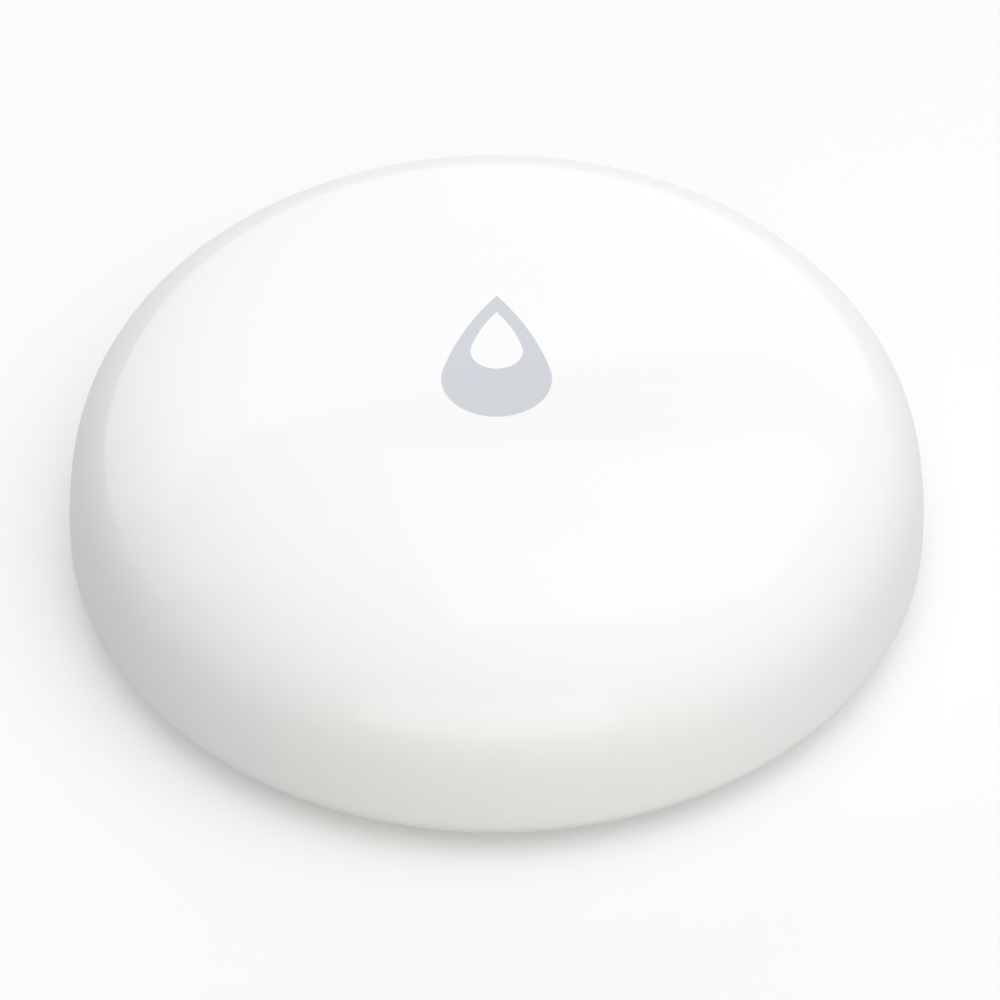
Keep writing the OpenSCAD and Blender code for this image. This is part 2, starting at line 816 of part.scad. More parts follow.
module bulk_capacitor() {
    color([0.85, 0.6, 0.2]) on_board(bulk_place, [bulk_l, bulk_w, bulk_h]);
}

// A row of small chips across the board
module chip_row(place, count, h) {
    for (i = [0 : count - 1])
        on_board(place + [i * passive_pitch, 0], [passive_w, passive_l, h]);
}

module chip_capacitors() {
    color([0.75, 0.65, 0.5]) chip_row(capacitor_place, capacitor_count, capacitor_h);
}

module chip_resistors() {
    color(chip_black) chip_row(resistor_place, resistor_count, resistor_h);
}

// One folded track: legs side by side, joined at alternate ends
module antenna_trace() {
    color(brass) translate([antenna_place.x, antenna_place.y, board_top]) {
        for (i = [0 : fold_count - 1])
            translate([i * fold_pitch, 0, 0]) cube([track_w, fold_l, track_t]);
        for (i = [0 : fold_count - 2])
            translate([i * fold_pitch, (i % 2) * (fold_l - track_w), 0])
                cube([fold_pitch + track_w, track_w, track_t]);
    }
}

module switch_body() {
    color(chip_black) difference() {
        on_board([0, 0], [switch_w, switch_w, switch_body_h]);
        disc(switch_well_d / 2, snap_z, switch_body_h);
    }
}

module switch_frame() {
    color(steel) difference() {
        translate([-switch_w / 2, -switch_w / 2, frame_z]) cube([switch_w, switch_w, switch_frame_t]);
        disc(plunger_d / 2 + plunger_gap, frame_z - cut, switch_frame_t + 2 * cut);
    }
}

// The snap dome is a thin cap of a sphere that bulges towards the plunger
module switch_dome() {
    rim_r = switch_well_d / 2 - plunger_gap;
    ball_r = (rim_r * rim_r + snap_rise * snap_rise) / (2 * snap_rise);
    centre = [0, snap_z + snap_rise - ball_r];
    color(steel) rotate_extrude() intersection() {
        difference() {
            translate(centre) circle(ball_r);
            translate(centre) circle(ball_r - snap_t);
        }
        translate([0, snap_z]) square([switch_well_d, snap_rise + cut]);
    }
}

module switch_plunger() {
    color(soft_white) {
        disc(switch_well_d / 2 - plunger_gap, flange_z, flange_h);
        disc(plunger_d / 2, flange_z, switch_top - flange_z);
    }
}

module switch_legs() {
    color(steel) for (x_side = [-1, 1], y_side = [-1, 1])
        on_board(
            [x_side * (switch_w + leg_l) / 2, y_side * leg_pitch / 2],
            [leg_l, leg_w, leg_t]
        );
}

module probe_screws() {
    probe_r = probe_head_d / 2;
    shank_r = probe_shank_d / 2;
    shank_top = probe_seat_z + probe_shank_l;
    color(steel) for (p = probe_places) translate(p) difference() {
        rotate_extrude() polygon([
            [0, probe_gap],
            [probe_r - probe_bevel, probe_gap],
            [probe_r, probe_gap + probe_bevel],
            [probe_r, probe_seat_z],
            [shank_r, probe_seat_z],
            [shank_r, shank_top],
            [0, shank_top]
        ]);
        translate([-probe_head_d, -probe_slot_w / 2, probe_gap - cut])
            cube([2 * probe_head_d, probe_slot_w, cut + probe_slot_depth]);
    }
}

module probe_seals() {
    color(chip_black) for (p = probe_places) translate(p)
        seal_ring(probe_bore_r, probe_seal_d / 2, probe_seat_z, probe_seal_h - seat_gap);
}

module probe_standoffs() {
    color(brass) for (p = probe_places) translate(p) difference() {
        union() {
            disc(standoff_d / 2, probe_boss_top, board_z - probe_boss_top);
            disc(standoff_pin_d / 2, board_z - weld, board_t + weld);
        }
        disc(probe_bore_r, probe_boss_top - cut, board_top - probe_boss_top + 2 * cut);
    }
}

module board_screws() {
    screw_top = board_top + board_screw_head_h;
    color(steel) for (p = post_places) translate(p) difference() {
        union() {
            disc(board_screw_head_d / 2, board_top, board_screw_head_h);
            disc(board_screw_d / 2, board_top - board_screw_l, board_screw_l + weld);
        }
        for (turn = [0, 90]) rotate(turn)
            translate([-board_screw_d / 2, -cross_w / 2, screw_top - cross_depth])
                cube([board_screw_d, cross_w, cross_depth + cut]);
    }
}

cover_shell();
drop_mark();
press_pad();
base_housing();
base_feet();
cover_seal();
battery_door();
door_seal();
cell_pad();
coin_cell();
cell_positive_contact();
cell_negative_contact();
circuit_board();
radio_chip();
crystal();
status_led();
bulk_capacitor();
chip_capacitors();
chip_resistors();
antenna_trace();
switch_body();
switch_frame();
switch_dome();
switch_plunger();
switch_legs();
probe_screws();
probe_seals();
probe_standoffs();
board_screws();
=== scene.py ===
import math

import bmesh
import bpy
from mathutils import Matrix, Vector


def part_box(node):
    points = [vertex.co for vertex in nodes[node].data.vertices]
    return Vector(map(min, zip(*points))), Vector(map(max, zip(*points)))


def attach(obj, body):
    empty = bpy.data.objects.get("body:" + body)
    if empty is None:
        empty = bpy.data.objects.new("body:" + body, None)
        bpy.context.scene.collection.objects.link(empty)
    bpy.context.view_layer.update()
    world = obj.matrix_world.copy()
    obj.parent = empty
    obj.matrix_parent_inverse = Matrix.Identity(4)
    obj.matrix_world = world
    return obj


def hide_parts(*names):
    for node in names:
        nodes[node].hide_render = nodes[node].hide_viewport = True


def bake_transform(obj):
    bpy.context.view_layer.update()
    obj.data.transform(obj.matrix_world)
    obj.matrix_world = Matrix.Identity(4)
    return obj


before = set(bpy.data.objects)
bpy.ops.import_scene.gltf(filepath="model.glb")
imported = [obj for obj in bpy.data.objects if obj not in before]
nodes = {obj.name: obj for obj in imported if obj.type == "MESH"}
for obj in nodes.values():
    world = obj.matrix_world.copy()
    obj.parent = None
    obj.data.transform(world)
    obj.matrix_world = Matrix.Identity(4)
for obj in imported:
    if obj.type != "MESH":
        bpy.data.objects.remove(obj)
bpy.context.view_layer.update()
mm = 0.001
scene = bpy.context.scene


class Wire:  # a node's output that can stand in a sum
    def __init__(self, bench, socket):
        self.bench = bench
        self.socket = socket

    def __add__(self, other):
        return self.bench.sums("ADD", self, other)

    def __radd__(self, other):
        return self.bench.sums("ADD", other, self)

    def __sub__(self, other):
        return self.bench.sums("SUBTRACT", self, other)

    def __rsub__(self, other):
        return self.bench.sums("SUBTRACT", other, self)

    def __mul__(self, other):
        return self.bench.sums("MULTIPLY", self, other)

    def __rmul__(self, other):
        return self.bench.sums("MULTIPLY", other, self)


class Bench:  # one node tree being wired, for a finish or for a shape
    def __init__(self, tree):
        self.tree = tree
        tree.nodes.clear()

    def node(self, kind, settings=None, sockets=None, out=0):
        made = self.tree.nodes.new(kind)
        for name, value in (settings or {}).items():
            if name == "stops":
                self.setStops(made.color_ramp.elements, value)
            else:
                setattr(made, name, value)
        for name, value in (sockets or {}).items():
            if isinstance(value, Wire):
                self.tree.links.new(value.socket, made.inputs[name])
            else:
                made.inputs[name].default_value = value
        return Wire(self, made.outputs[out]) if made.outputs else made

    def setStops(self, elements, stops):
        while len(elements) < len(stops):
            elements.new(1)
        for element, (place, colour) in zip(elements, stops):
            element.position = place
            element.color = (*colour, 1)

    def sums(self, operation, *values):
        return self.node("ShaderNodeMath", {"operation": operation}, dict(enumerate(values)))

    def axes(self, vector):
        # a vector's X, Y and Z
        split = self.node("ShaderNodeSeparateXYZ", sockets={"Vector": vector}).socket.node
        return [Wire(self, socket) for socket in split.outputs]


# Finishes

marks = {  # what the finishes show: size, detail, and the darkest and palest share of the colour
    "flowCloud": (9 * mm, 3),  # each plastic has its own shares
    "dust": (1.5 * mm, 4, 0.92, 1.06),
    "stain": (2.5 * mm, 3, 0.93, 1.04),
    "wear": (0.5 * mm, 4, 0.90, 1.05),
    "paperFibre": (30 * mm, 2, 0.998, 1.002),
}
toolLines = {  # fine lines that rolling and turning leave in metal
    "drawnSize": 0.06 * mm,
    "depth": 0.002 * mm,
    "ringRoughness": 0.03,
}


class Finish(Bench):  # a material with one Principled shader
    def __init__(self, name, **fixed):
        self.material = bpy.data.materials.new(name)
        self.material.use_nodes = True
        super().__init__(self.material.node_tree)
        self.place = self.node("ShaderNodeTexCoord", out="Object")
        shader = self.node("ShaderNodeBsdfPrincipled")
        self.shader = shader.socket.node
        self.node("ShaderNodeOutputMaterial", sockets={"Surface": shader})
        for socket, value in fixed.items():
            self.shader.inputs[socket.replace("_", " ")].default_value = value

    def feed(self, socket, wire):
        self.tree.links.new(wire.socket, self.shader.inputs[socket])

    def noise(self, size, detail, stretch=(1, 1, 1), rough=0.5):
        place = self.node("ShaderNodeMapping", sockets={"Vector": self.place, "Scale": stretch})
        return self.node("ShaderNodeTexNoise", sockets={
            "Vector": place, "Scale": 1 / size, "Detail": detail, "Roughness": rough})

    def shades(self, amount, *stops):
        count = len(stops) - 1
        return self.node("ShaderNodeValToRGB", {
            "stops": [(i / count, colour) for i, colour in enumerate(stops)]}, {"Fac": amount}, out="Color")

    def mottle(self, colour, size, detail, darkest, palest):
        # the base colour, a little darker or paler from spot to spot
        spots = self.noise(size, detail)
        self.feed("Base Color", self.shades(spots, tint(colour, darkest), tint(colour, palest)))
        return spots

    def spread(self, amount, low, high):
        # a noise lies mostly between 0.3 and 0.7
        return self.node("ShaderNodeMapRange", sockets={
            "Value": amount, "From Min": 0.3, "From Max": 0.7, "To Min": low, "To Max": high})

    def relief(self, height, depth):
        self.feed("Normal", self.node("ShaderNodeBump", sockets={
            "Height": height, "Distance": depth, "Strength": 1.0}))


def tint(colour, share):
    return tuple(min(1, c * share) for c in colour)


def mouldedPlastic(name, colour, gloss, grain, depth, vary=0.015, **fixed):
    # injection-moulded plastic: faint flow clouds in the colour, a fine surface from the tool
    made = Finish(name, **fixed)
    made.mottle(colour, *marks["flowCloud"], 1 - vary, 1 + vary)
    skin = made.noise(grain, 3, rough=0.6)
    made.feed("Roughness", made.spread(skin, *gloss))
    made.relief(skin, depth)
    return made.material


def rubber(name, colour, gloss, pore, depth):
    # dusty, with a skin of fine pores
    made = Finish(name, Specular_IOR_Level=0.35)
    made.mottle(colour, *marks["dust"])
    pores = made.noise(pore, 4, rough=0.7)
    made.feed("Roughness", made.spread(pores, *gloss))
    made.relief(pores, depth)
    return made.material


def sheetMetal(name, colour, gloss, drawn):
    # plated or rolled strip, with fine lines along the way that it was drawn
    made = Finish(name, Metallic=1.0)
    made.mottle(colour, *marks["stain"])
    lines = made.noise(toolLines["drawnSize"], 3, stretch=drawn)
    made.feed("Roughness", made.spread(lines, *gloss))
    made.relief(lines, toolLines["depth"])
    return made.material


def turnedMetal(name, colour, gloss, ringPlace, pitch):
    # lathe-turned metal on two screws at either side: rings round each screw's own axis
    made = Finish(name, Metallic=1.0)
    wear = made.mottle(colour, *marks["wear"])
    x, y, _ = made.axes(made.place)
    fromAxis = made.sums("ABSOLUTE", x) - ringPlace
    radius = made.sums("SQRT", fromAxis * fromAxis + y * y)
    rings = made.sums("SINE", radius * (2 * math.pi / pitch))
    made.feed("Roughness", made.spread(wear, *gloss) + rings * toolLines["ringRoughness"])
    made.relief(rings + wear, toolLines["depth"])
    return made.material


boardLook = {
    "lacquer": (0.01, 0.09, 0.045),
    "track": (0.03, 0.19, 0.08),
    "spacing": 1.6 * mm,
    "unevenness": 0.35,
    "trackStart": 0.42,  # share of the spacing at which a track's edge begins
    "trackFull": 0.46,
    "trackRise": 0.01 * mm,
    "weaveSize": 0.2 * mm,
    "weaveInColour": 0.2,
    "weaveInRelief": 0.15,
}


def solderMask(name, look):
    # lacquered board: copper lines show through the lacquer as a paler, slightly raised net
    made = Finish(name, Roughness=0.3, Coat_Weight=0.4, Coat_Roughness=0.15)
    cells = made.node("ShaderNodeTexVoronoi", {"distance": "MANHATTAN", "feature": "F1"}, {
        "Vector": made.place, "Scale": 1 / look["spacing"], "Randomness": look["unevenness"]})
    lines = made.node("ShaderNodeMapRange", sockets={
        "Value": cells, "From Min": look["trackStart"], "From Max": look["trackFull"],
        "To Min": 0.0, "To Max": 1.0})
    weave = made.noise(look["weaveSize"], 2)
    paler = lines * (1 - look["weaveInColour"]) + weave * look["weaveInColour"]
    made.feed("Base Color", made.shades(paler, look["lacquer"], look["track"]))
    made.relief(lines + weave * look["weaveInRelief"], look["trackRise"])
    return made.material


# plastics: name, colour, roughness from and to, grain size and depth, how far the colour varies
coverGloss = mouldedPlastic("coverGloss", (0.88, 0.882, 0.885), (0.3, 0.42), 0.3 * mm, 0.0008 * mm, 0.004,
                            Specular_IOR_Level=0.03, Coat_Weight=0.2, Coat_IOR=3.0, Coat_Roughness=0.01)
markInk = mouldedPlastic("markInk", (0.575, 0.595, 0.632), (0.12, 0.2), 0.25 * mm, 0.0005 * mm, 0.012)
baseSatin = mouldedPlastic("baseSatin", (0.84, 0.842, 0.845), (0.42, 0.58), 0.12 * mm, 0.006 * mm, 0.01)
plungerWhite = mouldedPlastic("plungerWhite", (0.8, 0.8, 0.78), (0.35, 0.5), 0.15 * mm, 0.004 * mm)
chipBlack = mouldedPlastic("chipBlack", (0.022, 0.022, 0.024), (0.5, 0.7), 0.08 * mm, 0.006 * mm, 0.15)
tantalumCase = mouldedPlastic("tantalumCase", (0.62, 0.36, 0.07), (0.35, 0.5), 0.1 * mm, 0.004 * mm, 0.06)
ceramicBody = mouldedPlastic("ceramicBody", (0.5, 0.36, 0.22), (0.35, 0.6), 0.05 * mm, 0.004 * mm, 0.12)
lightLens = mouldedPlastic("lightLens", (0.82, 0.84, 0.8), (0.08, 0.16), 0.2 * mm, 0.001 * mm)
# rubbers: name, colour, roughness from and to, pore size and depth
softPad = rubber("softPad", (0.25, 0.26, 0.28), (0.64, 0.76), 0.1 * mm, 0.006 * mm)
footSilicone = rubber("footSilicone", (0.72, 0.73, 0.74), (0.49, 0.61), 0.14 * mm, 0.005 * mm)
sealSilicone = rubber("sealSilicone", (0.3, 0.32, 0.35), (0.44, 0.56), 0.12 * mm, 0.004 * mm)
probeRubber = rubber("probeRubber", (0.025, 0.025, 0.027), (0.54, 0.66), 0.1 * mm, 0.005 * mm)
cellFoam = rubber("cellFoam", (0.045, 0.045, 0.05), (0.84, 0.96), 0.35 * mm, 0.08 * mm)
# metals: name, colour, roughness from and to, then the stretch of drawn lines or the place and
# pitch of turned ones
cellSteel = sheetMetal("cellSteel", (0.66, 0.67, 0.69), (0.22, 0.36), (0.05, 1, 1))
contactMetal = sheetMetal("contactMetal", (0.7, 0.7, 0.68), (0.2, 0.32), (0.05, 1, 1))
tinCan = sheetMetal("tinCan", (0.68, 0.68, 0.66), (0.25, 0.4), (1, 0.1, 1))
copperTrack = sheetMetal("copperTrack", (0.75, 0.5, 0.2), (0.25, 0.4), (1, 1, 1))
screwSteel = sheetMetal("screwSteel", (0.6, 0.61, 0.63), (0.25, 0.4), (1, 1, 0.1))
probeLow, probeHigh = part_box("probe_screws")
probeRing = probeHigh.x - (probeHigh.y - probeLow.y) / 2  # from the middle to each screw's axis
probeSteel = turnedMetal("probeSteel", (0.63, 0.63, 0.62), (0.2, 0.3), probeRing, 0.09 * mm)
brass = turnedMetal("brass", (0.72, 0.52, 0.22), (0.25, 0.38), probeRing, 0.12 * mm)
boardGreen = solderMask("boardGreen", boardLook)

nodeFinishes = {
    "cover_shell": coverGloss, "drop_mark": markInk, "press_pad": softPad,
    "base_housing": baseSatin, "base_feet": footSilicone, "cover_seal": sealSilicone,
    "battery_door": baseSatin, "door_seal": sealSilicone, "cell_pad": cellFoam,
    "coin_cell": cellSteel, "cell_positive_contact": contactMetal,
    "cell_negative_contact": contactMetal, "circuit_board": boardGreen,
    "radio_chip": chipBlack, "crystal": tinCan, "status_led": lightLens,
    "bulk_capacitor": tantalumCase, "chip_capacitors": ceramicBody, "chip_resistors": chipBlack,
    "antenna_trace": copperTrack, "switch_body": chipBlack, "switch_frame": contactMetal,
    "switch_dome": contactMetal, "switch_plunger": plungerWhite, "switch_legs": tinCan,
    "probe_screws": probeSteel, "probe_seals": probeRubber, "probe_standoffs": brass,
    "board_screws": screwSteel,
}
for name, finish in nodeFinishes.items():
    nodes[name].data.materials.clear()
    nodes[name].data.materials.append(finish)
print("finishes on", len(nodeFinishes), "nodes")


# Shapes

def addPiece(name, mesh):
    piece = bpy.data.objects.new(name, mesh)
    scene.collection.objects.link(piece)
    return piece


def smoothFaces(mesh, sharp=35):
    # an edge that turns by more degrees than sharp stays crisp
    mesh.polygons.foreach_set("use_smooth", [True] * len(mesh.polygons))
    mesh.set_sharp_from_angle(angle=math.radians(sharp))


def meshFrom(work, name):
    # the finished mesh, with its faces turned outwards
    bmesh.ops.recalc_face_normals(work, faces=work.faces)
    mesh = bpy.data.meshes.new(name)
    work.to_mesh(mesh)
    work.free()
    return mesh


def joinRows(work, near, far):
    # a closed band of faces between two loops with as many points
    for i in range(len(near)):
        work.faces.new((near[i - 1], near[i], far[i], far[i - 1]))


def bake(piece):
    # the modifiers' result as the piece's own plain mesh, with its faces turned outwards
    evaluated = piece.evaluated_get(bpy.context.evaluated_depsgraph_get())
    mesh = bpy.data.meshes.new_from_object(evaluated)
    piece.modifiers.clear()
    piece.data = mesh
    finishes = [finish for finish in mesh.materials if finish]
    mesh.materials.clear()  # the empty slots go, and every face takes the one finish left
    for finish in finishes:
        mesh.materials.append(finish)
    work = bmesh.new()
    work.from_mesh(mesh)
    bmesh.ops.recalc_face_normals(work, faces=work.faces)
    work.to_mesh(mesh)
    work.free()
    smoothFaces(mesh)
    return piece


class Shape(Bench):  # a Geometry Nodes tree with named inputs
    kinds = {float: "NodeSocketFloat", int: "NodeSocketInt", bpy.types.Material: "NodeSocketMaterial"}

    def __init__(self, name, **inputs):
        super().__init__(bpy.data.node_groups.new(name, "GeometryNodeTree"))
        self.values = {}
        sockets = self.tree.interface
        sockets.new_socket("Geometry", in_out="INPUT", socket_type="NodeSocketGeometry")
        for label, value in inputs.items():
            socket = sockets.new_socket(label, in_out="INPUT", socket_type=self.kinds[type(value)])
            self.values[socket.identifier] = value
        sockets.new_socket("Geometry", in_out="OUTPUT", socket_type="NodeSocketGeometry")
        self.entry = self.tree.nodes.new("NodeGroupInput")

    def value(self, label):
        return Wire(self, self.entry.outputs[label])

    def close(self, geometry):
        # every tree ends in realized instances with the finish set
        whole = self.node("GeometryNodeRealizeInstances", sockets={"Geometry": geometry})
        painted = self.node("GeometryNodeSetMaterial", sockets={
            "Geometry": whole, "Material": self.value("finish")})
        self.node("NodeGroupOutput", sockets={"Geometry": painted})

    def run(self, piece):
        modifier = piece.modifiers.new(self.tree.name, "NODES")
        modifier.node_group = self.tree
        for identifier, value in self.values.items():
            modifier[identifier] = value
        return bake(piece)


def lathe(name, outline, segments):
    # a solid turned about Z from a closed outline of (radius, height); radius 0 is on the axis
    work = bmesh.new()
    rings = []
    for radius, height in outline:
        count = segments if radius > 0 else 1
        rings.append([work.verts.new((radius * math.cos(2 * math.pi * i / count),
                                      radius * math.sin(2 * math.pi * i / count), height))
                      for i in range(count)])
    for lower, upper in zip(rings, rings[1:] + rings[:1]):
        if len(lower) == len(upper) == 1:
            continue
        for i in range(segments):
            corners = [lower[i % len(lower)], lower[(i + 1) % len(lower)],
                       upper[(i + 1) % len(upper)], upper[i % len(upper)]]
            work.faces.new(list(dict.fromkeys(corners)))
    return addPiece(name, meshFrom(work, name))


def roundedCorner(centre, radius, start, end, steps=6):
    # an arc of the outline, with slopes in degrees from straight up
    slopes = [math.radians(start + (end - start) * i / steps) for i in range(steps + 1)]
    return [(centre[0] + radius * math.sin(a), centre[1] + radius * math.cos(a)) for a in slopes]


def boxMesh(name, low, high):
    corners = [(x, y, z) for x in (low[0], high[0]) for y in (low[1], high[1]) for z in (low[2], high[2])]
    faces = [(0, 1, 3, 2), (4, 6, 7, 5), (0, 4, 5, 1), (2, 3, 7, 6), (0, 2, 6, 4), (1, 5, 7, 3)]
    mesh = bpy.data.meshes.new(name)
    mesh.from_pydata(corners, [], faces)
    return mesh


def arcBlock(name, outline, angle, steps):
    # a closed outline of (radius, height) swept part of the way round Z, half to either side of X
    work = bmesh.new()
    rows = []
    for i in range(steps + 1):
        a = angle * (i / steps - 0.5)
        rows.append([work.verts.new((r * math.cos(a), r * math.sin(a), z)) for r, z in outline])
    for near, far in zip(rows, rows[1:]):
        joinRows(work, near, far)
    work.faces.new(rows[0])
    work.faces.new(rows[-1])
    return addPiece(name, meshFrom(work, name))


def ringOfCopies(name, piece, finish, count, ringRadius, firstAngle, turned=0.0):
    # copies of one small piece, evenly placed on a circle about Z; turned 1 turns each one with its place
    shape = Shape(name, count=count, ringRadius=ringRadius, firstAngle=firstAngle, turned=turned,
                  finish=finish)
    step = shape.sums("DIVIDE", 2 * math.pi, shape.value("count"))
    angle = shape.value("firstAngle") + step * shape.node("GeometryNodeInputIndex")
    place = shape.node("ShaderNodeCombineXYZ", sockets={
        "X": shape.value("ringRadius") * shape.sums("COSINE", angle),
        "Y": shape.value("ringRadius") * shape.sums("SINE", angle)})
    places = shape.node("GeometryNodePoints", sockets={"Count": shape.value("count"), "Position": place})
    copies = shape.node("GeometryNodeInstanceOnPoints", sockets={
        "Points": places, "Instance": shape.value("Geometry"),
        "Rotation": shape.node("ShaderNodeCombineXYZ", sockets={"Z": shape.value("turned") * angle})})
    shape.close(copies)
    return shape.run(piece)


# Domed cover, one revolved section: a crown that falls away ever faster, then arcs that meet in line

coverDome = {
    "widestHeight": 2.9 * mm,
    "crownRadius": 200 * mm,  # at the very top
    "shoulderRadius": 7.9 * mm,
    "shoulderSlope": math.radians(44),  # where the shoulder takes over from the crown
    "sideRadius": 24 * mm,
    "sideLean": math.radians(10),
    "wall": 1.6 * mm,
    "skirtWall": 2.2 * mm,
    "lipRadius": 0.25 * mm,
    "segments": 640,
    "rings": 120,
    "crowding": 0.6,  # below 1, the crown's rings crowd towards the shoulder
    "ends": {  # share of the rings at which each stretch of the section ends
        "crown": 0.42, "shoulder": 0.56, "side": 0.63, "edge": 0.74, "rim": 0.75,
        "lip": 0.80, "bore": 0.83, "innerShoulder": 0.93, "innerCrown": 1.0,
    },
    "weld": 0.001 * mm,
}


def domeSizes():
    low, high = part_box("cover_shell")
    half = (high.x - low.x) / 2
    widest = coverDome["widestHeight"]
    side = coverDome["sideRadius"]
    lean = coverDome["sideLean"]
    shoulder = coverDome["shoulderRadius"]
    slope = coverDome["shoulderSlope"]
    crown = coverDome["crownRadius"]
    shoulderX = half - side + (side - shoulder) * math.cos(lean)
    shoulderZ = widest + (side - shoulder) * math.sin(lean)
    reach = shoulderX + shoulder * math.sin(slope)
    fall = high.z - shoulderZ - shoulder * math.cos(slope) - reach ** 2 / (2 * crown)
    inner = shoulder - coverDome["wall"]
    innerSlope = 2 * math.atan((high.z - shoulder - shoulderZ) / shoulderX)
    bore = half - coverDome["skirtWall"]
    boreSlope = math.asin((bore - shoulderX) / inner)
    boreTop = shoulderZ + inner * math.cos(boreSlope)
    edge = widest - low.z
    return {
        "top": high.z,
        "crownRadius": crown,
        "crownReach": reach,
        "crownFall": fall,
        "crownPower": (math.tan(slope) - reach / crown) * reach / fall,
        "shoulderRadius": shoulder,
        "shoulderSlope": slope,
        "sideRadius": side,
        "sideLean": lean,
        "edgeRadius": edge,
        "rimWidth": half - edge - bore - coverDome["lipRadius"],
        "lipRadius": coverDome["lipRadius"],
        "boreHeight": boreTop - low.z - coverDome["lipRadius"],
        "boreSlope": boreSlope,
        "innerRadius": inner,
        "innerSlope": innerSlope,
        "innerCrown": inner + shoulderX / math.sin(innerSlope),
    }


def crownHeight(sizes, radius):
    bend = radius ** 2 / (2 * sizes["crownRadius"])
    return sizes["top"] - bend - sizes["crownFall"] * (radius / sizes["crownReach"]) ** sizes["crownPower"]


def joinCover(piece):
    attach(piece, "cover")
    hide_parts("cover_shell")


def makeCover():
    shape = Shape("domeSection", **domeSizes(), segments=coverDome["segments"] + 1,
                  rings=coverDome["rings"] + 1, finish=coverGloss)
    size = shape.value
    grid = shape.node("GeometryNodeMeshGrid", sockets={
        "Size X": 1.0, "Size Y": 1.0, "Vertices X": size("segments"), "Vertices Y": size("rings")})
    x, y, _ = shape.axes(shape.node("GeometryNodeInputPosition"))
    turn = (x + 0.5) * (2 * math.pi)
    along = y + 0.5
    upright = math.pi / 2
    leaning = upright - size("sideLean")
    ends = coverDome["ends"]

    def part(start, end, low, high):  # runs from low to high while along goes from start to end
        return shape.node("ShaderNodeMapRange", sockets={
            "Value": along, "From Min": start, "From Max": end, "To Min": low, "To Max": high})

    outward = shape.sums("POWER", part(0.0, ends["crown"], 0.0, 1.0), coverDome["crowding"])
    radius = size("crownReach") * outward
    flat = shape.sums("DIVIDE", radius * radius, 2 * size("crownRadius"))
    height = size("top") - flat - size("crownFall") * shape.sums("POWER", outward, size("crownPower"))
    arcs = [  # the stretch before it, its own, its radius, and its slope at the start and at the end
        ("crown", "shoulder", size("shoulderRadius"), size("shoulderSlope"), leaning),
        ("shoulder", "side", size("sideRadius"), leaning, upright),
        ("side", "edge", size("edgeRadius"), upright, 2 * upright),
        ("rim", "lip", size("lipRadius"), 2 * upright, 3 * upright),
        ("bore", "innerShoulder", size("innerRadius"), size("boreSlope"), size("innerSlope")),
        ("innerShoulder", "innerCrown", size("innerCrown"), size("innerSlope"), 0.0),
    ]
    for before, own, bend, first, last in arcs:
        slope = part(ends[before], ends[own], first, last)
        radius = radius + bend * (shape.sums("SINE", slope) - shape.sums("SINE", first))
        height = height + bend * (shape.sums("COSINE", slope) - shape.sums("COSINE", first))
    radius = radius - part(ends["edge"], ends["rim"], 0.0, size("rimWidth"))
    height = height + part(ends["lip"], ends["bore"], 0.0, size("boreHeight"))

    place = shape.node("ShaderNodeCombineXYZ", sockets={
        "X": radius * shape.sums("COSINE", turn), "Y": radius * shape.sums("SINE", turn), "Z": height})
    turned = shape.node("GeometryNodeSetPosition", sockets={"Geometry": grid, "Position": place})
    closed = shape.node("GeometryNodeMergeByDistance", sockets={
        "Geometry": turned, "Distance": coverDome["weld"]})
    shape.close(closed)
    cover = shape.run(addPiece("coverDome", bpy.data.meshes.new("coverDome")))
    joinCover(cover)
    print("cover dome", len(cover.data.polygons), "faces")


makeCover()


# Inside of the cover: ribs round the boss that presses the switch, and lugs that snap into the base

coverInside = {
    "ribCount": 6,
    "ribLength": 9 * mm,
    "ribThickness": 0.8 * mm,
    "ribShare": 0.8,  # of the boss's height
    "bossDiameter": 5 * mm,
    "bossRound": 0.2 * mm,
    "bossSegments": 96,
    "lugCount": 4,
    "lugAngle": math.radians(16),
    "firstLug": math.radians(45),
    "lugReach": 0.6 * mm,
    "lugHeight": 0.8 * mm,
    "lugLift": 1 * mm,  # above the cover's edge
    "lugSteps": 12,
    "letIn": 0.3 * mm,  # how far each one runs into the wall
}


def makeRibs():
    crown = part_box("cover_shell")[1].z - coverDome["wall"]
    root = crown + coverInside["letIn"]
    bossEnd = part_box("press_pad")[1].z
    bossRadius = coverInside["bossDiameter"] / 2
    edge = coverInside["bossRound"]
    outline = [(0, bossEnd)]
    outline += roundedCorner((bossRadius - edge, bossEnd + edge), edge, 180, 90)
    outline += [(bossRadius, root), (0, root)]
    boss = lathe("pressBoss", outline, coverInside["bossSegments"])
    smoothFaces(boss.data)
    boss.data.materials.append(coverGloss)
    joinCover(boss)

    half = coverInside["ribThickness"] / 2
    ribEnd = crown - coverInside["ribShare"] * (crown - bossEnd)
    rib = addPiece("coverRibs", boxMesh("coverRibs", (bossRadius - coverInside["letIn"], -half, ribEnd),
                                        (coverInside["ribLength"], half, root)))
    ringOfCopies("ringOfRibs", rib, coverGloss, coverInside["ribCount"], 0.0, 0.0, turned=1.0)
    joinCover(rib)
    print("cover ribs", coverInside["ribCount"], "from", round(ribEnd / mm, 2), "mm up")


